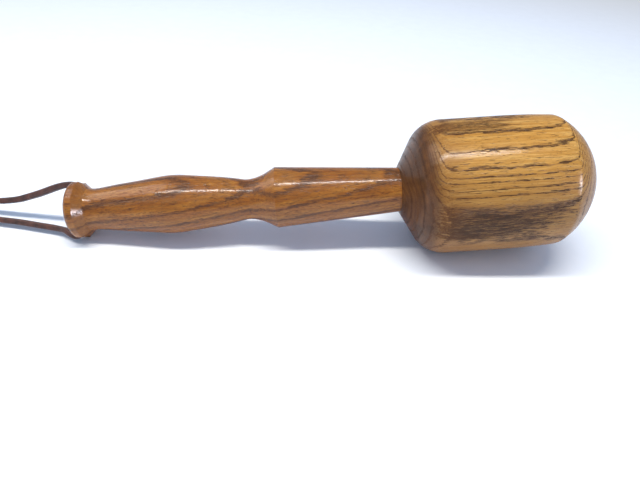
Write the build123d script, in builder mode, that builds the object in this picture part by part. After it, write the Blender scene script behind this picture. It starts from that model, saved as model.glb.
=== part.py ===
from build123d import *
import math
import os

# Turned wooden mallet with a lace loop, lying at rest on a level surface.
# Millimetres, +Z up, z = 0 is the surface.  The turning axis lies in the XZ plane
# and climbs towards +X, from the pommel to the fatter head.  "Station" is distance
# along the turning axis, with 0 just inside the tip of the pommel.

# lie of the tool
lie_deg = 5.984               # tilt of the turning axis
rest_height = 15.8464         # height of the turning axis at station 0
origin_station = 94.61        # station of the turning axis that lies at x = 0

# head
head_start = 188.1            # seam between handle shoulder and head
head_neck_r = 13.2
cone_end = 196.5              # straight shoulder cone ends here
cone_end_r = 28.5
shoulder_r = 18.0             # radius of the shoulder's arc
barrel_start = 212.4
barrel_end = 248.0
barrel_r = 38.1               # 3 in striking barrel
taper_end_r = 37.0            # where the gentle taper meets the dome
taper_nominal_r = 37.05       # sets how far the taper bows
taper_mid_share = 0.27        # share of the nominal taper lost by halfway
dome_r = 42.0                 # spherical end
dome_centre = 255.3
dome_mid_deg = 31             # a point midway along the dome's outline
tip_station = dome_centre + dome_r
rim_fillet = 6.0

# tenon and bore
tenon_r = 11.1
glue_gap = 0.05
bore_r = tenon_r + glue_gap
bore_lead = 1.0               # the bore's cut starts this far before the head
flare_start = 262.0           # bore and tenon widen sideways from here
flare = 1.5                   # extra half-width at the end of the flare
flare_end = tip_station + 1   # just beyond the dome
trim_length = 20.0            # size of the cutter that leaves ends flush with the dome
trim_r = 30.0
trim_mid_deg = 22

# wedge and its kerf
wedge_length = 36.0
wedge_tip_t = 1.4
wedge_end_t = 4.6
wedge_clear = 0.05            # clearance on each face
wedge_side_inset = 0.15       # wedge edges stop this far inside the tenon's radius
wedge_end = tip_station + 2   # before trimming to the dome
kerf_extra_depth = 1.0        # kerf runs this far past the wedge's thin end
kerf_overcut = 2.0            # kerf is cut this far beyond the tenon's radius

# handle
handle_end_dome = 1.6         # the pommel tip stands this far beyond station 0
crest_station = 7.17          # crisp crest at the widest point of the pommel
crest_r = 16.5
neck_r = 11.85
grip_r = 16.7
waist_station = 100.7
waist_r = 11.49
collar_station = 117.9
collar_r = 17.45
shoulder_face_r = 12.7

# hole for the lace
hole_station = 4.3
hole_lean_deg = 36.0          # lean of the hole from the upright, towards +Y
hole_r = 2.7
hole_reach = 30.0             # each way from the axis, well clear of the pommel
mouth_r = 5.7                 # countersunk mouth
mouth_depth = 5.1
mouth_inset = 0.2             # mouth_r is reached this far inside the crest radius

# lace
lace_w = 4.5                  # across the bend at the mouths
lace_t = 3.7
lace_corner = 1.1
lace_section = (lace_w, lace_t, lace_corner)
mouth_bend_r = 2.9            # centreline radius where a strand turns out of its mouth
strand_r = 14.9               # a strand's centre leaves its mouth at this radius
bend_station = -15.0          # the loop bends sideways here
bend_gap = 1.8                # each strand stops this far either side of the bend
knot_station = -84.0
knot_r = 7.4
knot_length = 16.5
knot_back = 15.2              # offset of the knot to +Y
knot_lift = 0.4               # gap between knot and surface
knot_fillet = knot_r - 1.6

# ---------------------------------------------------------------------------
# frames
# ---------------------------------------------------------------------------
lie = math.radians(lie_deg)
axis_x, axis_z = math.cos(lie), math.sin(lie)
axis_dir = Vector(axis_x, 0, axis_z)      # pommel to head
back_along = -axis_dir                    # from the pommel out along the loop

lean = math.radians(hole_lean_deg)
hole_up, hole_back = math.cos(lean), math.sin(lean)
hole_dir = Vector(-hole_up * axis_z, hole_back, hole_up * axis_x)
# across the hole, square to the turning axis
side_up, side_back = -hole_back, hole_up
side_dir = Vector(-side_up * axis_z, side_back, side_up * axis_x)


def on_axis(station, up=0.0, back=0.0):
    """Point at a station of the turning axis, up off it and back (+Y) from it."""
    return Vector(
        (station - origin_station) * axis_x - up * axis_z,
        back,
        rest_height + station * axis_z + up * axis_x,
    )


def by_hole(station, along, across):
    """Point given by its station, its reach along the hole, and its offset across it."""
    return on_axis(
        station,
        along * hole_up + across * side_up,
        along * hole_back + across * side_back,
    )


def by_table(station, back, height):
    """Point given by its offset to +Y and its height above the surface.

    The station sets its distance along the axis.
    """
    up = (height - rest_height - station * axis_z) / axis_x
    return on_axis(station, up, back)


def across_axis(station):
    """Plane square to the turning axis, facing the head, local x towards +Y."""
    return Plane(origin=on_axis(station), x_dir=(0, 1, 0), z_dir=axis_dir)


# profile plane: local x is station, local y is radius
turning = Plane(origin=on_axis(0), x_dir=axis_dir, z_dir=(0, -1, 0))
turning_axis = Axis(on_axis(0), axis_dir)
# wedge plane: local x is station, local y is the wedge's thickness
wedge_plane = Plane(origin=on_axis(0), x_dir=axis_dir, z_dir=(axis_z, 0, -axis_x))


def arc_point(centre, radius, degrees):
    """Profile point on an arc, at an angle from the turning axis."""
    angle = math.radians(degrees)
    return (centre[0] + radius * math.cos(angle), centre[1] + radius * math.sin(angle))


def wedge_outline(start, clear=0.0):
    """Closed wedge outline from its thin end at start, less clear on each face."""
    half_tip = wedge_tip_t / 2 - clear
    half_end = wedge_end_t / 2 - clear
    return [
        (start, -half_tip),
        (wedge_end, -half_end),
        (wedge_end, half_end),
        (start, half_tip),
        (start, -half_tip),
    ]


def build_beyond_dome():
    """Cutter filling the space outside the dome, around the tip."""
    dome_edge = (dome_centre + math.sqrt(dome_r**2 - trim_r**2), trim_r)
    with BuildPart() as cutter:
        with BuildSketch(turning):
            with BuildLine():
                Polyline(
                    (tip_station, 0),
                    (tip_station + trim_length, 0),
                    (tip_station + trim_length, trim_r),
                    dome_edge,
                )
                ThreePointArc(
                    dome_edge,
                    arc_point((dome_centre, 0), dome_r, trim_mid_deg),
                    (tip_station, 0),
                )
            make_face()
        revolve(axis=turning_axis)
    return cutter.part


beyond_dome = build_beyond_dome()


# ---------------------------------------------------------------------------
# head: shoulder cone, shoulder arc, barrel, gentle taper, rounded rim, dome
# ---------------------------------------------------------------------------
def build_head():
    arc_centre = (barrel_start, barrel_r - shoulder_r)
    arc_start_deg = math.degrees(
        math.atan2(cone_end_r - arc_centre[1], cone_end - arc_centre[0])
    )
    taper_end = dome_centre + math.sqrt(dome_r**2 - taper_end_r**2)
    taper_mid_r = barrel_r - (barrel_r - taper_nominal_r) * taper_mid_share

    with BuildPart() as head:
        with BuildSketch(turning):
            with BuildLine():
                Polyline((head_start, 0), (head_start, head_neck_r), (cone_end, cone_end_r))
                ThreePointArc(
                    (cone_end, cone_end_r),
                    arc_point(arc_centre, shoulder_r, (arc_start_deg + 90) / 2),
                    (barrel_start, barrel_r),
                )
                Line((barrel_start, barrel_r), (barrel_end, barrel_r))
                ThreePointArc(
                    (barrel_end, barrel_r),
                    ((barrel_end + taper_end) / 2, taper_mid_r),
                    (taper_end, taper_end_r),
                )
                ThreePointArc(
                    (taper_end, taper_end_r),
                    arc_point((dome_centre, 0), dome_r, dome_mid_deg),
                    (tip_station, 0),
                )
                Line((tip_station, 0), (head_start, 0))
            make_face()
        revolve(axis=turning_axis)
        # the rim is the circle where the taper meets the dome
        rim = head.edges().filter_by(GeomType.CIRCLE).sort_by(
            lambda edge: abs(edge.radius - taper_end_r)
        )[0]
        fillet(rim, rim_fillet)
        # through bore, round up to the flare, then opened sideways for the wedge
        with BuildSketch(across_axis(head_start - bore_lead)):
            Circle(bore_r)
        extrude(amount=flare_start - head_start + bore_lead, mode=Mode.SUBTRACT)
        with BuildSketch(across_axis(flare_start)):
            Circle(bore_r)
        with BuildSketch(across_axis(flare_end)):
            Ellipse(bore_r + flare, bore_r)
        loft(mode=Mode.SUBTRACT)
    return head.part


# ---------------------------------------------------------------------------
# handle: pommel, neck, grip, waist, flare, collar, taper, tenon
# ---------------------------------------------------------------------------
# (station, radius) along the pommel's end face, from its tip outwards
pommel_curve = [
    (-handle_end_dome, 0.6), (-0.95, 6.5), (0.75, 11.6), (1.72, 13.85),
    (2.51, 15.15), (3.35, 16.0), (4.5, 16.4),
]

# (station, radius) from behind the pommel to the collar
grip_curve = [
    (11.6, 12.35), (14.1, neck_r), (17.55, 11.99), (23.3, 12.75),
    (30.25, 13.68), (38.3, 14.55), (46.4, 15.51), (53.9, 16.4),
    (60.4, grip_r), (69.5, 15.93), (77.6, 15.03), (85.65, 14.04),
    (93.7, 12.78), (98.2, 11.93), (waist_station, waist_r), (103.3, 11.57),
    (106.4, 12.15), (111.0, 13.76), (114.5, 15.62), (collar_station, collar_r),
]


def build_handle():
    mouth_base = crest_r - mouth_inset - mouth_depth
    mouth_taper = math.degrees(math.atan((mouth_r - hole_r) / mouth_depth))

    with BuildPart() as handle:
        with BuildSketch(turning):
            with BuildLine():
                Line((-handle_end_dome, 0), pommel_curve[0])
                Spline(*pommel_curve)
                Polyline(pommel_curve[-1], (crest_station, crest_r), grip_curve[0])
                Spline(*grip_curve)
                Polyline(
                    (collar_station, collar_r),
                    (head_start, shoulder_face_r),
                    (head_start, tenon_r),
                    (flare_start, tenon_r),
                    (flare_start, 0),
                    (-handle_end_dome, 0),
                )
            make_face()
        revolve(axis=turning_axis)
        # spread end of the tenon, trimmed flush with the dome
        with BuildSketch(across_axis(flare_start)):
            Circle(tenon_r)
        with BuildSketch(across_axis(flare_end)):
            Ellipse(tenon_r + flare, tenon_r)
        loft()
        add(beyond_dome, mode=Mode.SUBTRACT)
        # kerf spread by the wedge
        with BuildSketch(wedge_plane):
            with BuildLine():
                Polyline(*wedge_outline(tip_station - wedge_length - kerf_extra_depth))
            make_face()
        extrude(amount=tenon_r + kerf_overcut, both=True, mode=Mode.SUBTRACT)
        # cross hole for the lace
        with BuildSketch(Plane(origin=on_axis(hole_station), x_dir=axis_dir, z_dir=hole_dir)):
            Circle(hole_r)
        extrude(amount=hole_reach, both=True, mode=Mode.SUBTRACT)
        # countersunk mouths, cut on past the surface
        for way in (1, -1):
            base = by_hole(hole_station, way * mouth_base, 0.0)
            with BuildSketch(Plane(origin=base, x_dir=axis_dir, z_dir=hole_dir * way)):
                Circle(hole_r)
            extrude(amount=mouth_depth * 2, taper=-mouth_taper, mode=Mode.SUBTRACT)
    return handle.part


# ---------------------------------------------------------------------------
# wedge: thin wedge in the kerf, flush with the dome
# ---------------------------------------------------------------------------
def build_wedge():
    with BuildPart() as wedge:
        with BuildSketch(wedge_plane):
            with BuildLine():
                Polyline(*wedge_outline(tip_station - wedge_length, wedge_clear))
            make_face()
        extrude(amount=tenon_r - wedge_side_inset, both=True)
        add(beyond_dome, mode=Mode.SUBTRACT)
    return wedge.part


# ---------------------------------------------------------------------------
# lace root: through the hole and out of both mouths as far as the bend
# ---------------------------------------------------------------------------
bend_start = strand_r - mouth_bend_r              # reach along the hole
leave_station = hole_station - mouth_bend_r       # strands have turned by here

# centrelines from the mouths to the bend
upper_root = [
    by_hole(leave_station, strand_r, 0.0),
    by_hole(-5.0, 14.6, 1.3),
    by_hole(-9.5, 13.9, 2.8),
    by_hole(bend_station + bend_gap, 13.1, 4.1),
]
lower_root = [
    by_hole(leave_station, -strand_r, 0.0),
    by_hole(-4.6, -11.4, 2.0),
    by_hole(-9.0, -10.2, 4.6),
    by_hole(bend_station + bend_gap, -9.0, 5.7),
]


def build_thong_root():
    with BuildPart() as root:
        # straight length inside the hole
        with BuildSketch(Plane(origin=on_axis(hole_station), x_dir=side_dir, z_dir=hole_dir)):
            RectangleRounded(*lace_section)
        extrude(amount=bend_start, both=True)
        for way, points in ((1, upper_root), (-1, lower_root)):
            # quarter turn out of the mouth
            turn_start = by_hole(hole_station, way * bend_start, 0.0)
            turn_centre = by_hole(leave_station, way * bend_start, 0.0)
            with BuildSketch(Plane(origin=turn_start, x_dir=side_dir, z_dir=hole_dir)):
                RectangleRounded(*lace_section)
            revolve(axis=Axis(turn_centre, side_dir * -way), revolution_arc=90)
            # strand as far as the bend
            with BuildLine() as root_line:
                Spline(*points, tangents=(back_along, points[-1] - points[-2]))
            with BuildSketch(Plane(origin=points[0], x_dir=side_dir, z_dir=back_along)):
                RectangleRounded(*lace_section)
            sweep(path=root_line.wires()[0])
    return root.part


# ---------------------------------------------------------------------------
# lace loop: the rest of the loop, its knot and its two tails
# ---------------------------------------------------------------------------
# centrelines, from the bend into the knot
upper_strand = [
    by_hole(bend_station - bend_gap, 12.45, 5.15),
    on_axis(-20.8, 5.4, 12.3),
    on_axis(-28.2, 2.9, 13.8),
    on_axis(-35.5, 0.8, 14.9),
    on_axis(-42.3, -0.3, 16.0),
    on_axis(-48.9, -0.9, 17.0),
    by_table(-60.0, 18.6, 9.0),
    by_table(-70.0, 18.3, 8.6),
    by_table(knot_station + 2, 16.2, 8.0),
]
lower_strand = [
    by_hole(bend_station - bend_gap, -8.5, 6.0),
    on_axis(-22.4, -9.7, 1.2),
    on_axis(-34.7, -8.4, 4.1),
    on_axis(-46.7, -7.2, 6.2),
    by_table(-58.0, 8.3, 3.8),
    by_table(-70.0, 11.6, 4.6),
    by_table(knot_station + 2, 14.6, 5.6),
]
# centrelines, from the knot to the free ends
back_tail = [
    by_table(knot_station - 1, 16.2, 7.2),
    by_table(knot_station - 8.5, 17.8, 5.4),
    by_table(knot_station - 15, 20.6, 3.5),
    by_table(knot_station - 22, 24.0, 3.0),
]
front_tail = [
    by_table(knot_station - 1, 14.2, 6.2),
    by_table(knot_station - 8.5, 12.6, 4.6),
    by_table(knot_station - 16, 11.2, 3.3),
    by_table(knot_station - 23.9, 11.6, 3.0),
]


def build_thong_loop():
    knot_centre = by_table(knot_station, knot_back, knot_r + knot_lift)
    knot_end = knot_centre + back_along * (knot_length / 2)

    with BuildPart() as loop:
        # knot, as one rounded slug
        with BuildSketch(Plane(origin=knot_end, x_dir=(0, 1, 0), z_dir=axis_dir)):
            Circle(knot_r)
        extrude(amount=knot_length)
        fillet(loop.edges().filter_by(GeomType.CIRCLE), knot_fillet)
        # both sides of the loop, then both tails
        for points in (upper_strand, lower_strand, back_tail, front_tail):
            with BuildLine() as strand:
                Spline(*points)
            start_plane = Plane(
                origin=strand.line @ 0, x_dir=side_dir, z_dir=strand.line % 0
            )
            with BuildSketch(start_plane):
                RectangleRounded(*lace_section)
            sweep(path=strand.wires()[0])
    return loop.part


builders = {
    "head": build_head,
    "handle": build_handle,
    "wedge": build_wedge,
    "thong_root": build_thong_root,
    "thong_loop": build_thong_loop,
}

os.makedirs("parts", exist_ok=True)
for name, build in builders.items():
    part = build()
    part.label = name
    export_step(part, f"parts/{name}.step")
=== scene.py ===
"""A turned wooden tool at rest on a table: oak head, oak handle, a wedge and a knotted leather lace.

The turning axis runs along +X from pommel to head and climbs by LIE; -Y is the front.
Stations are millimetres along that axis from the pommel end. The scene itself is in metres.
"""
import bpy
import bmesh
import math
import numpy as np
from mathutils import Vector, Matrix

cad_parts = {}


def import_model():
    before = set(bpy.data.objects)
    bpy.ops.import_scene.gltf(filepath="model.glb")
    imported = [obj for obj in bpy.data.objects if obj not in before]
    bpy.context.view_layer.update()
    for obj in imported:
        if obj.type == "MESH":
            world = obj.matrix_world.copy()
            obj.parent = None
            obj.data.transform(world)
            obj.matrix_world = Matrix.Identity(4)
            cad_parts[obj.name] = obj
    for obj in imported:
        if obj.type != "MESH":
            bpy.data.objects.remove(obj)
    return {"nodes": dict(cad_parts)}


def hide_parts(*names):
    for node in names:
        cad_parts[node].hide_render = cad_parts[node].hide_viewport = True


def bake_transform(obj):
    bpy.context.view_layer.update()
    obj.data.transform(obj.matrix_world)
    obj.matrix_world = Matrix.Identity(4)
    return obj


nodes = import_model()["nodes"]
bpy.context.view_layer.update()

# the turning axis
LIE = math.radians(5.984)
AXIS = Vector((math.cos(LIE), 0.0, math.sin(LIE)))
ORIGIN_STATION = 94.61    # on-axis station at x = 0
REST = 15.8464            # height of the axis over the table at station 0, mm


def on_axis(station, up=0.0, back=0.0):
    """millimetres along, above and behind the axis -> metres"""
    return Vector(((station - ORIGIN_STATION) * AXIS.x - up * AXIS.z,
                   back,
                   REST + station * AXIS.z + up * AXIS.x)) / 1000.0


# ---------------------------------------------------------------------------
# node graphs
# ---------------------------------------------------------------------------
class Signal:
    """A node output; arithmetic on it adds nodes to its graph."""

    def __init__(self, graph, socket):
        self.graph = graph
        self.socket = socket

    def __add__(self, other):
        return self.graph.math("ADD", self, other)

    def __sub__(self, other):
        return self.graph.math("SUBTRACT", self, other)

    def __rsub__(self, other):
        return self.graph.math("SUBTRACT", other, self)

    def __mul__(self, other):
        return self.graph.math("MULTIPLY", self, other)

    def scaled(self, by, plus):
        return self.graph.math("MULTIPLY_ADD", self, by, plus)

    def max(self, other):
        return self.graph.math("MAXIMUM", self, other)

    def fraction(self):
        return self.graph.math("FRACT", self)

    def ease(self, start, end, to=(0.0, 1.0), linear=False):
        """carry start..end onto the range `to`, by a smooth step unless linear"""
        return self.graph.build(
            "ShaderNodeMapRange",
            {"Value": self, "From Min": start, "From Max": end, "To Min": to[0], "To Max": to[1]},
            interpolation_type="LINEAR" if linear else "SMOOTHSTEP")

    def band(self, rise, fall):
        """1 between the two spans, easing up over `rise` and down over `fall`"""
        return self.ease(*rise) * self.ease(*fall, to=(1.0, 0.0))

    def ramp(self, positions, colours):
        signal = self.graph.build("ShaderNodeValToRGB", {0: self})
        stops = signal.socket.node.color_ramp.elements
        while len(stops) < len(positions):
            stops.new(0.5)
        for stop, position, colour in zip(stops, positions, colours):
            stop.position = position
            stop.color = colour
        return signal

    def curve(self, points):
        signal = self.graph.build("ShaderNodeFloatCurve", {"Value": self})
        mapping = signal.socket.node.mapping
        mapping.use_clip = False
        knots = mapping.curves[0].points
        while len(knots) < len(points):
            knots.new(0.5, 0.5)
        for knot, point in zip(knots, points):
            knot.location = point
            knot.handle_type = "AUTO"
        mapping.update()
        return signal


class Graph:
    """The emptied node tree of a material or world."""

    def __init__(self, owner):
        owner.use_nodes = True
        self.owner = owner
        self.tree = owner.node_tree
        self.tree.nodes.clear()

    def build(self, kind, inputs=None, output=0, **settings):
        """add a node; gives one Signal, or a list of them when `output` is a tuple"""
        node = self.tree.nodes.new(kind)
        for key, value in settings.items():
            setattr(node, key, value)
        for key, value in (inputs or {}).items():
            if isinstance(value, Signal):
                self.tree.links.new(value.socket, node.inputs[key])
            elif value is not None:
                node.inputs[key].default_value = value
        if isinstance(output, tuple):
            return [Signal(self, node.outputs[key]) for key in output]
        return Signal(self, node.outputs[output])

    def math(self, operation, *operands):
        return self.build("ShaderNodeMath", dict(enumerate(operands)), operation=operation)

    def scale(self, vector, factor):
        return self.build("ShaderNodeVectorMath", {0: vector, "Scale": factor}, operation="SCALE")

    def xyz(self, x, y, z):
        return self.build("ShaderNodeCombineXYZ", {0: x, 1: y, 2: z})

    def split(self, vector):
        return self.build("ShaderNodeSeparateXYZ", {0: vector}, output=(0, 1, 2))

    def coordinate(self, name):
        return self.build("ShaderNodeTexCoord", output=name)

    def noise(self, vector, detail, rough):
        return self.build(
            "ShaderNodeTexNoise",
            {"Vector": vector, "Scale": 1.0, "Detail": detail, "Roughness": rough}, output="Fac")

    def mottle(self, point, scale, detail, rough):
        """noise of the same scale in every direction"""
        return self.noise(self.scale(point, scale), detail, rough)

    def tint(self, under, over, where, strength=None):
        """lay one colour over another by the mask `where`"""
        if strength is not None:
            where = where * strength
        return self.build("ShaderNodeMix", {0: where, 6: under, 7: over}, output=2,
                          data_type="RGBA", blend_type="MIX", clamp_factor=True)

    def bump(self, height, strength, distance, normal=None):
        return self.build("ShaderNodeBump", {"Height": height, "Strength": strength,
                                             "Distance": distance, "Normal": normal})

    def principled(self, **values):
        """a Principled surface, its inputs named with underscores, wired to the output"""
        inputs = {key.replace("_", " "): value for key, value in values.items()}
        self.surface(self.build("ShaderNodeBsdfPrincipled", inputs))
        return self.owner

    def surface(self, shader, kind="ShaderNodeOutputMaterial"):
        node = self.tree.nodes.new(kind)
        self.tree.links.new(shader.socket, node.inputs["Surface"])


def srgb(*levels):
    """0..255 display levels -> linear RGBA"""
    def linear(level):
        level = level / 255.0
        return level / 12.92 if level <= 0.04045 else ((level + 0.055) / 1.055) ** 2.4
    return (*map(linear, levels), 1.0)


class Wood(Graph):
    """A wood material, drawn in the tool's own millimetres."""

    def __init__(self, name):
        super().__init__(bpy.data.materials.new(name))
        start = on_axis(0.0) * 1000.0
        cos, sin = math.cos(LIE), math.sin(LIE)
        # turning by LIE about Y takes the turning axis onto X
        self.point = self.build("ShaderNodeMapping", {
            "Vector": self.coordinate("Object"),
            "Scale": (1000.0, 1000.0, 1000.0),
            "Rotation": (0.0, LIE, 0.0),
            "Location": (-(start.x * cos + start.z * sin), -start.y,
                         -(-start.x * sin + start.z * cos))})
        self.station, self.back, self.up = self.split(self.point)

    def grain(self, along, across, detail, rough, offset=None, across_up=None):
        """noise drawn out along the axis; along and across are its frequencies per mm"""
        vector = self.xyz(self.station * along, self.back * across,
                          self.up * (across_up or across))
        if offset:
            vector = self.build("ShaderNodeVectorMath", {0: vector, 1: offset}, operation="ADD")
        return self.noise(vector, detail, rough)

    def turned(self, degrees):
        """place across the axis: towards the front raised by `degrees`, and square to that"""
        cos, sin = math.cos(math.radians(degrees)), math.sin(math.radians(degrees))
        return self.back * -cos + self.up * sin, self.back * sin + self.up * cos

    def facing(self):
        """how far the surface looks towards the head end, -1 to 1"""
        return self.build("ShaderNodeVectorMath",
                          {0: self.coordinate("Normal"), 1: tuple(AXIS)},
                          output=1, operation="DOT_PRODUCT")

    def pores(self, strokes, density, closed, opened, soft):
        """strokes above a threshold that goes from `closed` to `opened` with density"""
        threshold = density.ease(0.0, 1.0, to=(closed, opened), linear=True)
        return (strokes - threshold).ease(0.0, soft)

    def finish(self, colour, rough, coat_rough, fine_height, pore_height, coat, pore_depth,
               edge=None):
        """varnished wood; pore_depth and edge (the radius of eased edges) are in metres"""
        soft = None
        if edge:
            soft = self.build("ShaderNodeBevel", {"Radius": edge}, samples=8)
        fine = self.bump(fine_height, strength=0.6, distance=0.00004, normal=soft)
        return self.principled(
            Base_Color=colour, Roughness=rough, IOR=1.5, Specular_IOR_Level=0.12,
            Coat_Weight=coat, Coat_Roughness=coat_rough, Coat_IOR=1.5,
            Normal=self.bump(pore_height, strength=1.0, distance=pore_depth, normal=fine),
            # the varnish skin follows the pores only softly
            Coat_Normal=self.bump(pore_height, strength=0.5, distance=pore_depth * 0.7,
                                  normal=soft))


# ---------------------------------------------------------------------------
# head: golden open-grained oak. The rings show as long broken lines of pores, and
# as dark flames where one ring lies along the surface
# ---------------------------------------------------------------------------
HEAD_RADIUS = 38.1
HEAD_TILT = 33.5          # degrees above the front where the head's angle is 0
# (degrees round the axis, growing upwards from the tilt; ring number at the surface)
HEAD_RINGS = [
    (-180, 3.7), (-165, 4.06), (-148, 4.12), (-130, 3.7), (-112, 2.7), (-92, 1.6), (-74, 0.9),
    (-60, 0.36), (-52, 0.16), (-38, 0.09), (-26, 0.14), (-17, 0.42), (-10.2, 1.14), (-5.2, 2.12),
    (0.4, 3.12), (4.7, 4.12), (11.2, 5.12), (26, 6.12), (39, 6.85), (51, 7.5), (62, 7.98),
    (76, 8.09), (90, 8.06), (106, 7.5), (124, 6.3), (143, 5.0), (160, 4.1), (180, 3.7)]


def head_earlywood(wood, ring):
    """mask of the porous part of each ring: sharp inside, feathered outside, uneven"""
    phase = (ring + 40.0).fraction()
    wobble = wood.grain(along=0.08, across=0.35, detail=3.0, rough=0.65)
    width = wobble.ease(0.32, 0.68, to=(0.16, 0.44))
    early = phase.band(rise=(0.0, 0.06), fall=(width * 0.35, width))
    torn = wood.grain(along=0.11, across=1.2, detail=3.0, rough=0.6, offset=(1.7, 9.1, 3.3))
    return early * torn.ease(0.36, 0.52, to=(0.50, 1.0))


def flame(wood, angle, sway, strokes, degrees, stations, climb=0.0):
    """a ring seen broadside between two angles and two stations; climb is degrees per mm"""
    soft = 3.0
    low, high = degrees
    start, end = stations
    ragged = angle * (180.0 / math.pi) + (sway - 0.5) * 8.0 + (strokes - 0.5) * 12.0
    rise = (wood.station - 228.0).max(0.0) * climb
    inside = ((ragged - rise).ease(low, low + soft)
              * ragged.ease(high - soft, high, to=(1.0, 0.0)))
    # fingers along the grain at both ends
    fingers = wood.grain(along=0.02, across=0.75, detail=2.0, rough=0.6)
    place = wood.station + (fingers - 0.5) * 46.0
    return inside * place.band(rise=(start, start + 2.0), fall=(end - 6.0, end))


def head_flames(wood, angle, sway, strokes):
    lower = flame(wood, angle, sway, strokes, (-51.0, -16.5), (202.0, 272.0), climb=0.34)
    upper = flame(wood, angle, sway, strokes, (45.0, 64.0), (202.0, 246.0), climb=0.2)
    sliver = flame(wood, angle, sway, strokes, (-60.0, -54.0), (232.0, 266.0))
    return lower.max(upper).max(sliver * 0.8)


def head_side_colour(wood, angle, fine, early, dark, pore):
    streak = wood.grain(along=0.018, across=0.55, detail=4.0, rough=0.6)
    gold = streak.ramp((0.30, 0.5, 0.70),
                       (srgb(184, 126, 44), srgb(210, 153, 70), srgb(226, 176, 96)))
    gold = wood.tint(gold, srgb(160, 100, 30), where=fine.ease(0.38, 0.66, to=(0.0, 0.55)))
    # the lower half of the front is a little browner and duller
    low = angle.ease(math.radians(20.0), math.radians(-25.0))
    gold = wood.tint(gold, srgb(138, 90, 40), where=low, strength=0.60)
    early_brown = fine.ramp((0.30, 0.55, 0.75),
                            (srgb(84, 48, 20), srgb(122, 76, 32), srgb(160, 106, 48)))
    flame_brown = wood.tint(srgb(78, 42, 20), srgb(138, 90, 44), where=fine.ease(0.38, 0.66))
    colour = wood.tint(gold, early_brown, where=early, strength=0.72)
    colour = wood.tint(colour, flame_brown, where=dark, strength=0.88)
    return wood.tint(colour, srgb(50, 28, 14), where=pore, strength=0.84)


def head_end_colour(wood, dirt, ring):
    """end grain soaks up more stain and shows broad soft arcs"""
    arcs = wood.math("SINE", ring * (2 * math.pi)).scaled(0.5, plus=0.5)
    arcs = arcs * dirt.ease(0.3, 0.6, to=(0.5, 1.0))
    colour = wood.tint(srgb(70, 39, 18), srgb(112, 67, 32), where=dirt.ease(0.32, 0.68))
    colour = wood.tint(colour, srgb(50, 28, 15), where=arcs, strength=0.42)
    pore = wood.grain(along=1.0, across=2.4, detail=3.0, rough=0.6).ease(0.52, 0.66)
    return wood.tint(colour, srgb(66, 38, 20), where=pore, strength=0.38)


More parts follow.
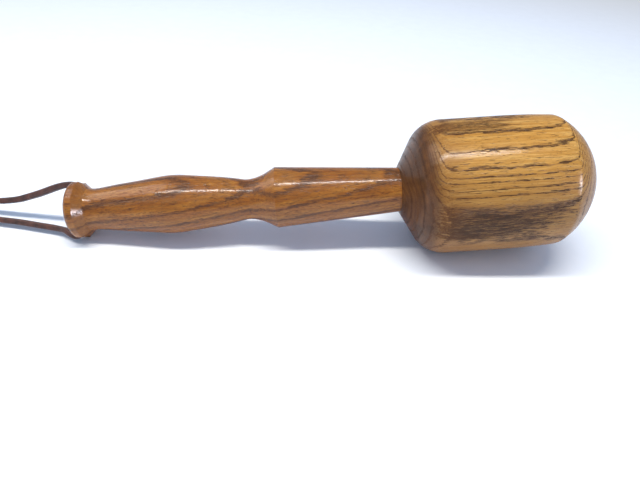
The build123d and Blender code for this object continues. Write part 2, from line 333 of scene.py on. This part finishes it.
def head_material():
    wood = Wood("head_oak")
    station = wood.station

    # waviness of the rings, from long to short
    drift = wood.grain(along=0.012, across=0.03, detail=2.0, rough=0.5)
    sway = wood.grain(along=0.045, across=0.16, detail=3.0, rough=0.6)
    ripple = wood.grain(along=0.16, across=1.1, detail=2.0, rough=0.6)
    jitter = (drift - 0.5) * 0.20 + ((sway - 0.5) * 0.24 + (ripple - 0.5) * 0.42)

    radius = wood.math("SQRT", wood.back * wood.back + wood.up * wood.up)
    forward, upward = wood.turned(HEAD_TILT)
    angle = wood.math("ARCTAN2", upward, forward)
    # the curve works in 0..1: whole turns across, tens of rings up
    turn = angle * (1.0 / (2 * math.pi)) + 0.5
    surface_ring = turn.curve([(a / 360.0 + 0.5, ring / 10.0) for a, ring in HEAD_RINGS]) * 10.0
    # off the barrel, towards the turning axis, the same rings close into arcs
    barrel = radius.ease(30.5, 37.9)
    depth = (HEAD_RADIUS - radius) * (1.0 / 4.6)
    early = head_earlywood(
        wood, surface_ring * barrel.scaled(0.86, plus=0.14) - depth + jitter)

    # long thin pores, dense in the earlywood and sparse elsewhere
    long_strokes = wood.grain(along=0.14, across=2.1, detail=3.0, rough=0.62,
                              offset=(3.1, 5.3, 1.9))
    short_strokes = wood.grain(along=0.30, across=4.2, detail=2.0, rough=0.6,
                               offset=(9.7, 2.3, 6.1))
    long_pores = wood.pores(long_strokes, early, closed=0.615, opened=0.455, soft=0.05)
    short_pores = wood.pores(short_strokes, early, closed=0.640, opened=0.465, soft=0.06)
    pore = long_pores.max(short_pores * 0.75)

    # flames are densest next to the shoulder and open towards the tip
    flames = head_flames(wood, angle, sway, long_strokes) * barrel
    gaps = wood.grain(along=0.045, across=1.45, detail=4.0, rough=0.66, offset=(7.7, 1.3, 4.1))
    density = gaps.ease(0.36, 0.60, to=(1.0, 0.30)).max(
        station.ease(204.0, 222.0, to=(0.90, 0.30)))
    dark = flames * density * station.ease(214.0, 262.0, to=(1.0, 0.74))
    pore = pore.max(flames * (short_strokes - 0.50).ease(0.0, 0.07, to=(0.0, 0.9)))

    fine = wood.grain(along=0.09, across=3.4, detail=4.0, rough=0.62)
    colour = head_side_colour(wood, angle, fine, early, dark, pore)

    facing = wood.facing()
    shoulder = facing.ease(-0.30, -0.72)
    tip = facing.ease(0.40, 0.90)
    dirt = wood.grain(along=0.09, across=0.09, detail=4.0, rough=0.6)
    end_ring = surface_ring * 0.30 - (HEAD_RADIUS - radius) * (1.0 / 3.1) + jitter * 0.7
    end_colour = head_end_colour(wood, dirt, end_ring)
    # the barrel is made darker towards the shoulder, strongest where it meets the shoulder
    shoulder_darkening = (station + (dirt - 0.5) * 16.0).ease(225.0, 200.0, to=(0.0, 0.56))
    colour = wood.tint(colour, srgb(120, 72, 32), where=shoulder_darkening)
    colour = wood.tint(colour, end_colour, where=shoulder, strength=0.92)
    tip_colour = wood.tint(end_colour, srgb(188, 120, 46), where=0.60)
    colour = wood.tint(colour, tip_colour, where=tip, strength=0.60)
    # faint bruises
    wear = wood.mottle(wood.point, scale=0.035, detail=3.0, rough=0.55).ease(0.50, 0.72)
    colour = wood.tint(colour, srgb(112, 70, 32), where=wear, strength=0.12)

    smears = wood.mottle(wood.point, scale=0.25, detail=4.0, rough=0.6)
    return wood.finish(
        colour,
        rough=pore.scaled(0.25, plus=0.45),
        coat_rough=smears.scaled(0.16, plus=0.10),
        fine_height=1.0 - (fine * 0.4 + early * 0.4),
        pore_height=1.0 - pore,
        coat=shoulder.scaled(-0.08, plus=0.52) - dark.max(pore * 0.6) * 0.36,
        pore_depth=0.00011,
        edge=0.0035)


# ---------------------------------------------------------------------------
# handle: finer, browner oak; flat grain with cathedral points cut by the turning
# ---------------------------------------------------------------------------
HANDLE_TILT = 73.0        # degrees above the front towards which the rings are stacked
HANDLE_RING_PITCH = 8.7
HANDLE_RING_START = 9.2


def handle_ring(wood):
    """ring number: bowed, slanting layers with waves from long to short"""
    drift = wood.grain(along=0.013, across=0.04, detail=2.0, rough=0.5)
    sway = wood.grain(along=0.05, across=0.30, detail=3.0, rough=0.6)
    ripple = wood.grain(along=0.17, across=1.6, detail=3.0, rough=0.65)
    across, side = wood.turned(HANDLE_TILT)
    bow, slant = -0.012, -0.12
    layer = across + side * side * bow + wood.station * slant
    layer = layer + (drift - 0.5) * 4.5 + (sway - 0.5) * 3.0 + (ripple - 0.5) * 3.4
    return (layer - HANDLE_RING_START) * (1.0 / HANDLE_RING_PITCH)


def handle_colour(wood, fine, phase, line, subline, pore):
    streak = wood.grain(along=0.016, across=0.8, detail=4.0, rough=0.62)
    colour = streak.ramp((0.30, 0.5, 0.70),
                         (srgb(138, 76, 20), srgb(166, 98, 28), srgb(186, 120, 42)))
    colour = wood.tint(colour, srgb(118, 62, 18), where=fine.ease(0.38, 0.66, to=(0.0, 0.50)))
    # each ring starts light and darkens towards its line
    light = phase.ease(0.0, 0.10) * phase.ease(0.10, 0.50, to=(0.26, 0.0))
    colour = wood.tint(colour, srgb(194, 134, 56), where=light)
    dusk = phase.band(rise=(0.30, 0.95), fall=(0.95, 1.0))
    colour = wood.tint(colour, srgb(122, 68, 26), where=dusk, strength=0.30)
    colour = wood.tint(colour, srgb(92, 50, 20), where=subline, strength=0.30)
    colour = wood.tint(colour, srgb(84, 46, 22), where=line, strength=0.50)
    colour = wood.tint(colour, srgb(48, 26, 12), where=pore, strength=0.72)

    end = wood.math("ABSOLUTE", wood.facing()).ease(0.35, 0.90)
    end_pore = wood.grain(along=1.0, across=2.6, detail=3.0, rough=0.6).ease(0.52, 0.66)
    end_colour = wood.tint(srgb(150, 92, 36), srgb(92, 54, 24), where=line, strength=0.6)
    end_colour = wood.tint(end_colour, srgb(66, 38, 18), where=end_pore, strength=0.5)
    colour = wood.tint(colour, end_colour, where=end, strength=0.7)
    wear = wood.mottle(wood.point, scale=0.05, detail=3.0, rough=0.55).ease(0.48, 0.72)
    return wood.tint(colour, srgb(96, 54, 22), where=wear, strength=0.20)


def handle_material():
    wood = Wood("handle_oak")
    ring = handle_ring(wood)
    phase = (ring + 40.0).fraction()
    subphase = (ring * 3.0 + 40.3).fraction()
    # a strong line ends each ring; where it breaks up, finer lines show
    broken = wood.grain(along=0.05, across=0.5, detail=3.0, rough=0.6)
    line = (phase.band(rise=(0.66, 0.93), fall=(0.965, 1.0))
            * broken.ease(0.34, 0.62, to=(0.15, 1.0)))
    subline = (subphase.band(rise=(0.50, 0.90), fall=(0.93, 1.0))
               * broken.ease(0.62, 0.40, to=(0.2, 1.0)))

    density = line.scaled(0.9, plus=subline.scaled(0.45, plus=0.0))
    long_strokes = wood.grain(along=0.20, across=3.0, detail=3.0, rough=0.62,
                              offset=(3.7, 8.3, 1.1))
    short_strokes = wood.grain(along=0.42, across=5.2, detail=2.0, rough=0.6,
                               offset=(9.1, 4.3, 6.6))
    long_pores = wood.pores(long_strokes, density, closed=0.60, opened=0.47, soft=0.06)
    short_pores = wood.pores(short_strokes, density, closed=0.60, opened=0.49, soft=0.06)
    pore = long_pores.max(short_pores * 0.8)

    fine = wood.grain(along=0.10, across=4.5, detail=4.0, rough=0.62)
    smears = wood.mottle(wood.point, scale=0.3, detail=4.0, rough=0.6)
    return wood.finish(
        handle_colour(wood, fine, phase, line, subline, pore),
        rough=pore.scaled(0.25, plus=0.45),
        coat_rough=smears.scaled(0.14, plus=0.06),
        fine_height=1.0 - (fine * 0.4 + line * 0.4),
        pore_height=1.0 - pore,
        coat=0.78,
        pore_depth=0.00010)


def wedge_material():
    wood = Wood("wedge_wood")
    streak = wood.grain(along=0.03, across=2.5, across_up=0.9, detail=4.0, rough=0.6)
    fine = wood.grain(along=0.3, across=6.0, detail=3.0, rough=0.6)
    pore = wood.grain(along=0.5, across=3.5, detail=2.0, rough=0.6).ease(0.58, 0.66)
    colour = streak.ramp((0.3, 0.5, 0.7),
                         (srgb(58, 34, 22), srgb(84, 52, 32), srgb(108, 70, 42)))
    colour = wood.tint(colour, srgb(34, 20, 14), where=pore, strength=0.6)
    return wood.finish(colour, rough=0.5, coat_rough=0.18, fine_height=fine,
                       pore_height=1.0 - pore, coat=0.6, pore_depth=0.00009)


def leather_material():
    graph = Graph(bpy.data.materials.new("thong_leather"))
    lace_place = graph.build("ShaderNodeAttribute", output="Vector",
                             attribute_name="lace_uv", attribute_type="GEOMETRY")
    along, around, _ = graph.split(lace_place)
    point = graph.scale(graph.coordinate("Object"), 1000.0)
    mottling = graph.mottle(point, scale=0.22, detail=4.0, rough=0.6)
    fibre = graph.noise(graph.xyz(along * 0.35, around * 3.2, 0.0), detail=4.0, rough=0.65)
    cell = graph.build("ShaderNodeTexVoronoi", {"Vector": graph.scale(point, 2.4),
                                                "Scale": 1.0, "Randomness": 1.0})
    # paler lines at an even spacing round the strip
    rub = graph.math("ABSOLUTE", graph.math("PINGPONG", around, 3.7)).ease(
        0.0, 0.5, to=(1.0, 0.0))

    colour = mottling.ramp((0.30, 0.5, 0.70),
                           (srgb(52, 30, 24), srgb(78, 44, 34), srgb(104, 58, 42)))
    colour = graph.tint(colour, srgb(44, 26, 21), where=fibre.ease(0.45, 0.7, to=(0.0, 0.5)))
    colour = graph.tint(colour, srgb(34, 21, 17), where=cell.ease(0.0, 0.35, to=(0.25, 0.0)))
    colour = graph.tint(colour, srgb(120, 70, 50), where=rub, strength=0.25)
    height = cell.ease(0.0, 0.6) * 0.6 + fibre * 0.8
    return graph.principled(
        Base_Color=colour, Roughness=fibre.scaled(0.3, plus=0.38), Specular_IOR_Level=0.45,
        Sheen_Weight=0.12, Sheen_Roughness=0.5,
        Normal=graph.bump(height, strength=0.8, distance=0.00012))


def dress(piece, material):
    nodes[piece].data.materials.clear()
    nodes[piece].data.materials.append(material)


dress("head", head_material())
dress("handle", handle_material())
dress("wedge", wedge_material())
LEATHER = leather_material()
dress("thong_root", LEATHER)
dress("thong_loop", LEATHER)

# ---------------------------------------------------------------------------
# lace: one continuous strip of leather, tail to tail, through the hole in the
# pommel and through a doubled overhand knot (millimetres)
# ---------------------------------------------------------------------------
HOLE_STATION = 4.3
HOLE_LEAN = math.radians(36.0)    # the hole's upper end leans back by this
LACE_WIDTH, LACE_THICKNESS, LACE_CORNER = 4.42, 3.60, 1.12
BEND_RADIUS = 2.9                 # where the lace turns into the hole
STRAND_RADIUS = 14.9              # from the axis to the lace just outside the hole
KNOT_STATION, KNOT_RADIUS = -84.0, 7.4
LACE_STEP = 0.0006                # metres between rings of the mesh


def by_hole(station, along, across):
    """a place measured along and across the hole"""
    cos, sin = math.cos(HOLE_LEAN), math.sin(HOLE_LEAN)
    return on_axis(station, along * cos - across * sin, along * sin + across * cos)


def by_table(station, back, height):
    """a place measured up from the table"""
    return on_axis(station, (height - REST - station * AXIS.z) / AXIS.x, back)


# Each outline below runs away from the knot.
# (distance before KNOT_STATION, back, height)
TAIL_A = [(11.5, 18.9, 4.5), (15.0, 20.6, 3.5), (21.9, 24.0, 3.0)]
TAIL_B = [(11.5, 12.1, 4.2), (16.0, 11.2, 3.3), (23.8, 11.6, 3.0)]
# (station, back, height)
UPPER_BY_TABLE = [(-74.5, 17.6, 8.3), (-67.0, 18.5, 8.7), (-60.0, 18.6, 9.0)]
LOWER_BY_TABLE = [(-74.5, 12.9, 5.0), (-67.0, 10.8, 4.4), (-58.0, 8.3, 3.8)]
# (station, up, back)
UPPER_ON_AXIS = [(-48.9, -0.9, 17.0), (-42.3, -0.3, 16.0), (-35.5, 0.8, 14.9),
                 (-28.2, 2.9, 13.8), (-20.8, 5.4, 12.3)]
LOWER_ON_AXIS = [(-46.7, -7.2, 6.2), (-34.7, -8.4, 4.1), (-22.4, -9.7, 1.2)]
# (station, along the hole, across it)
UPPER_BY_HOLE = [(-15.0, 12.75, 4.65), (-9.5, 13.9, 2.8), (-5.0, 14.62, 1.3),
                 (-1.2, 14.88, 0.25)]
LOWER_BY_HOLE = [(-15.0, -8.75, 5.85), (-9.0, -10.2, 4.6), (-4.6, -11.4, 2.0),
                 (-1.0, -13.9, 0.7)]


def knot_strand(phase, shift):
    """one strand of the knot: in along the core, round the outside, out along the core"""
    centre = np.array(by_table(KNOT_STATION, 15.2, KNOT_RADIUS + 0.4))
    axis = np.array(AXIS)
    back = np.array((0.0, 1.0, 0.0))
    down = np.cross(axis, back)
    down = down / np.linalg.norm(down)

    def place(x, radius, angle):
        offset = (axis * x + back * (radius * math.cos(angle))
                  + down * (radius * math.sin(angle)))
        return tuple(centre + offset / 1000.0)

    turns, steps = 1.35, 15
    wrap_radius, dip = 5.50, 1.8      # the wrap dips inwards at both ends
    start, end = -5.9 + shift, -0.6 + shift
    points = [place(7.6, 2.3, phase), place(3.4, 2.2, phase), place(-2.4, 2.2, phase)]
    for i in range(steps + 1):
        f = i / steps
        radius = (wrap_radius - dip * max(0.0, 1 - f * 5) ** 2
                  - dip * max(0.0, 1 - (1 - f) * 5) ** 2)
        points.append(place(start + (end - start) * f, radius, phase + 2 * math.pi * turns * f))
    angle = phase + 2 * math.pi * turns
    return points + [place(1.2, 2.6, angle + 0.5), place(-2.0, 1.8, angle + 0.8),
                     place(-7.4, 2.2, phase - math.radians(10))]


def through_hole():
    """down through the hole, with a quarter bend at either end"""
    bend = []
    for k in range(7):
        angle = math.radians(90 * k / 6)
        bend.append((HOLE_STATION - BEND_RADIUS + BEND_RADIUS * math.sin(angle),
                     STRAND_RADIUS - BEND_RADIUS + BEND_RADIUS * math.cos(angle)))
    return ([by_hole(station, along, 0.0) for station, along in bend]
            + [by_hole(HOLE_STATION, along, 0.0) for along in (8.0, 4.0, 0.0, -4.0, -8.0)]
            + [by_hole(station, -along, 0.0) for station, along in reversed(bend)])


def lace_path():
    def tail(table):
        return [by_table(KNOT_STATION - before, back, height) for before, back, height in table]

    def strand(table, axis, hole):
        return ([by_table(*place) for place in table] + [on_axis(*place) for place in axis]
                + [by_hole(*place) for place in hole])

    return (tail(TAIL_A)[::-1]
            + knot_strand(math.radians(20), 0.0)[::-1]
            + strand(UPPER_BY_TABLE, UPPER_ON_AXIS, UPPER_BY_HOLE)
            + through_hole()
            + strand(LOWER_BY_TABLE, LOWER_ON_AXIS, LOWER_BY_HOLE)[::-1]
            + knot_strand(math.radians(200), 4.7)
            + tail(TAIL_B))


def rounded(points):
    """centripetal Catmull-Rom through the points, at an even step; with the lengths along it"""
    def between(a, b, start, end, t):
        return (end - t) / (end - start) * a + (t - start) / (end - start) * b

    p = [np.array(point, float) for point in points]
    p = [2 * p[0] - p[1]] + p + [2 * p[-1] - p[-2]]
    line = []
    for i in range(1, len(p) - 2):
        a, b, c, d = p[i - 1:i + 3]
        t0 = 0.0
        t1 = t0 + np.linalg.norm(b - a) ** 0.5
        t2 = t1 + np.linalg.norm(c - b) ** 0.5
        t3 = t2 + np.linalg.norm(d - c) ** 0.5
        for t in np.linspace(t1, t2, 14, endpoint=False):
            ab = between(a, b, t0, t1, t)
            bc = between(b, c, t1, t2, t)
            cd = between(c, d, t2, t3, t)
            abc = between(ab, bc, t0, t2, t)
            bcd = between(bc, cd, t1, t3, t)
            line.append(between(abc, bcd, t1, t2, t))
    line.append(p[-2])
    line = np.array(line)
    for _ in range(3):
        line[1:-1] = 0.25 * line[:-2] + 0.5 * line[1:-1] + 0.25 * line[2:]
    length = np.r_[0, np.cumsum(np.linalg.norm(np.diff(line, axis=0), axis=1))]
    even = np.linspace(0, length[-1], max(8, int(length[-1] / LACE_STEP)))
    return np.stack([np.interp(even, length, line[:, k]) for k in range(3)], 1), even


def strip_directions(centres, middle):
    """width and thickness directions, carried without twist from the middle of the hole"""
    tangent = np.gradient(centres, axis=0)
    tangent /= np.linalg.norm(tangent, axis=1)[:, None]
    across_hole = np.array(by_hole(0, 0, 1)) - np.array(by_hole(0, 0, 0))
    across_hole /= np.linalg.norm(across_hole)
    width = np.zeros((len(centres), 3))
    width[middle] = across_hole
    for indices in (range(middle + 1, len(centres)), range(middle - 1, -1, -1)):
        carried = across_hole
        for i in indices:
            carried = carried - tangent[i] * (carried @ tangent[i])
            carried /= np.linalg.norm(carried)
            width[i] = carried
    return width, np.cross(tangent, width)


def lace_section():
    """rectangle with rounded corners, and a point in the middle of each side"""
    half_width, half_thick = LACE_WIDTH / 2, LACE_THICKNESS / 2
    # (corner's sides, its first angle, middle of the side after it)
    corners = [(1, 1, 0, (0.0, half_thick)), (-1, 1, 90, (-half_width, 0.0)),
               (-1, -1, 180, (0.0, -half_thick)), (1, -1, 270, (half_width, 0.0))]
    section = []
    for side_x, side_y, first, side_middle in corners:
        for k in range(5):
            angle = math.radians(first + 90 * k / 4)
            section.append((side_x * (half_width - LACE_CORNER) + LACE_CORNER * math.cos(angle),
                            side_y * (half_thick - LACE_CORNER) + LACE_CORNER * math.sin(angle)))
        section.append(side_middle)
    return np.array(section)


def lace_scales(centres, lengths, middle):
    """size of the section at each ring"""
    rng = np.random.RandomState(7)
    waves = np.zeros(len(centres))
    for per_mm, amount in ((0.05, 0.5), (0.13, 0.3), (0.31, 0.2)):
        waves += amount * np.sin(lengths * 1000 * per_mm * 2 * math.pi + rng.rand() * 6.28)
    scales = 1.0 - 0.012 + 0.012 * waves
    # the last two rings of each tail are eased
    for ring, taper in enumerate((0.80, 0.93)):
        scales[ring] *= taper
        scales[-1 - ring] *= taper
    # the pommel squeezes the strip a little where it passes through
    from_middle = np.linalg.norm(centres - centres[middle], axis=1) * 1000.0
    return scales * (1.0 - 0.095 * np.exp(-((from_middle / 18.0) ** 8)))


def make_lace():
    centres, lengths = rounded(lace_path())
    hole_centre = np.array(by_hole(HOLE_STATION, 0, 0))
    middle = int(np.argmin(np.linalg.norm(centres - hole_centre, axis=1)))
    width, thick = strip_directions(centres, middle)
    section = lace_section()
    scales = lace_scales(centres, lengths, middle)
    rings, sides = len(centres), len(section)
    outline = np.diff(np.vstack([section, section[:1]]), axis=0)
    around = np.r_[0, np.cumsum(np.linalg.norm(outline, axis=1))]

    # lace_uv: mm along, mm around, 1 at the cap centres
    verts, lace_uv = [], []
    for i in range(rings):
        for j, (x, y) in enumerate(section):
            vert = centres[i] + (width[i] * x + thick[i] * y) * scales[i] / 1000.0
            # where it lies on the table it is pressed flat
            verts.append((vert[0], vert[1], max(vert[2], 0.00001)))
            lace_uv.append((lengths[i] * 1000.0, around[j], 0.0))
    first_cap, last_cap = len(verts), len(verts) + 1
    verts += [tuple(centres[0]), tuple(centres[-1])]
    lace_uv += [(0, 0, 1), (lengths[-1] * 1000, 0, 1)]

    faces = []
    for i in range(rings - 1):
        here, after = i * sides, (i + 1) * sides
        for j in range(sides):
            k = (j + 1) % sides
            faces.append((here + j, here + k, after + k, after + j))
    last_ring = (rings - 1) * sides
    for j in range(sides):
        k = (j + 1) % sides
        faces.append((first_cap, k, j))
        faces.append((last_cap, last_ring + j, last_ring + k))

    mesh = bpy.data.meshes.new("lace")
    mesh.from_pydata(verts, [], faces)
    attribute = mesh.attributes.new("lace_uv", "FLOAT_VECTOR", "POINT")
    attribute.data.foreach_set("vector", np.array(lace_uv, float).ravel())
    bm = bmesh.new()
    bm.from_mesh(mesh)
    bmesh.ops.recalc_face_normals(bm, faces=bm.faces)
    bm.to_mesh(mesh)
    bm.free()
    for polygon in mesh.polygons:
        polygon.use_smooth = True
    mesh.update()
    mesh.materials.append(LEATHER)
    return link("lace", mesh)


def link(name, data):
    thing = bpy.data.objects.new(name, data)
    bpy.context.scene.collection.objects.link(thing)
    return thing


lace = make_lace()
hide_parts("thong_root", "thong_loop")
tuple(on_axis(-8.0, 4.0, 6.0))
tuple(on_axis(-22.0, 0.0, 7.0))
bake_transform(lace)


# ---------------------------------------------------------------------------
# floor, light, camera (metres)
# ---------------------------------------------------------------------------
def floor_material():
    graph = Graph(bpy.data.materials.new("floor_pale"))
    point = graph.coordinate("Object")
    mottling = graph.mottle(point, scale=60.0, detail=4.0, rough=0.6)
    colour = mottling.ramp((0.3, 0.7), ((0.95, 0.95, 0.94, 1.0), (0.98, 0.98, 0.97, 1.0)))
    # far from the lamp only the cool fill is left; a warmer board keeps the table neutral
    x, y, _ = graph.split(point)
    distance = graph.math("SQRT", x * x + y * y)
    colour = graph.tint(colour, (0.99, 0.82, 0.60, 1.0), where=distance.ease(0.38, 1.5))
    return graph.principled(Base_Color=colour, Roughness=0.9, Specular_IOR_Level=0.1)


def make_floor():
    mesh = bpy.data.meshes.new("floor")
    bm = bmesh.new()
    bmesh.ops.create_grid(bm, x_segments=8, y_segments=8, size=4.0)
    bm.to_mesh(mesh)
    bm.free()
    floor = link("floor", mesh)
    floor.location = (0, 0, -0.00005)
    mesh.materials.append(floor_material())


def area(name, place, target, size, power, colour, size_y=None, gloss_only=False):
    """an area light: a disk, or a rectangle when size_y is given"""
    light = bpy.data.lights.new(name, "AREA")
    light.energy = power
    light.color = colour
    light.shape = "RECTANGLE" if size_y else "DISK"
    light.size = size
    if size_y:
        light.size_y = size_y
    lamp = link(name, light)
    lamp.location = place
    lamp.rotation_mode = "QUATERNION"
    lamp.rotation_quaternion = (Vector(target) - Vector(place)).to_track_quat("-Z", "Y")
    lamp.visible_diffuse = not gloss_only


def make_lights():
    area("tube", place=(-0.15, -0.13, 1.14), target=(-0.15, 0.0, 0.03), size=1.22, size_y=0.10,
         power=13.0, colour=(1.0, 0.99, 0.965))
    # stacked disks, brightest in the middle: (size, power, how far nearer the tool)
    for size, power, nearer in ((0.62, 6.5, 0.00), (0.42, 4.5, 0.02), (0.24, 2.6, 0.04)):
        area("window_%d" % round(size * 100),
             place=(1.18 - nearer, -0.71 + nearer * 0.6, 0.40 - nearer * 0.3),
             target=(0.05, 0, 0.03), size=size, power=power,
             colour=(0.92, 0.90, 1.0), gloss_only=True)
    area("side_window", place=(-0.80, 0.30, 0.85), target=(0.10, 0, 0.03), size=0.8,
         power=4.0, colour=(0.98, 0.97, 1.0), gloss_only=True)


def make_world():
    world = bpy.data.worlds.new("studio")
    bpy.context.scene.world = world
    graph = Graph(world)

    def background(colour, strength):
        return graph.build("ShaderNodeBackground", {"Color": colour, "Strength": strength})

    # the room's fill; what the varnish mirrors of it is dimmer, and behind the table
    # it is a plain pale wall
    fill = background((0.74, 0.96, 1.38, 1.0), strength=0.53)
    mirrored = background((0.95, 0.97, 1.06, 1.0), strength=0.26)
    wall = background((0.93, 0.935, 0.94, 1.0), strength=0.92)
    is_glossy, is_camera = graph.build("ShaderNodeLightPath",
                                       output=("Is Glossy Ray", "Is Camera Ray"))
    room = graph.build("ShaderNodeMixShader", {0: is_glossy, 1: fill, 2: mirrored})
    seen = graph.build("ShaderNodeMixShader", {0: is_camera, 1: room, 2: wall})
    graph.surface(seen, "ShaderNodeOutputWorld")


def make_camera():
    camera = bpy.data.cameras.new("camera")
    camera.sensor_width = 36.0
    camera.lens = 28.0125
    camera.clip_start = 0.01
    camera.clip_end = 20.0
    right = (0.997043, -0.048655, 0.059473)
    up = (-0.016689, 0.618386, 0.785697)
    backward = (-0.075006, -0.784367, 0.615746)
    pose = Matrix((right, up, backward)).transposed().to_4x4()
    pose.translation = (0.026836, -0.241526, 0.187035)
    viewer = link("camera", camera)
    viewer.matrix_world = pose
    bpy.context.scene.camera = viewer


make_floor()
make_lights()
make_world()
view = bpy.context.scene.view_settings
view.view_transform = "Standard"
view.look = "None"
view.exposure = 0.0
view.gamma = 1.0
make_camera()

bpy.context.view_layer.update()
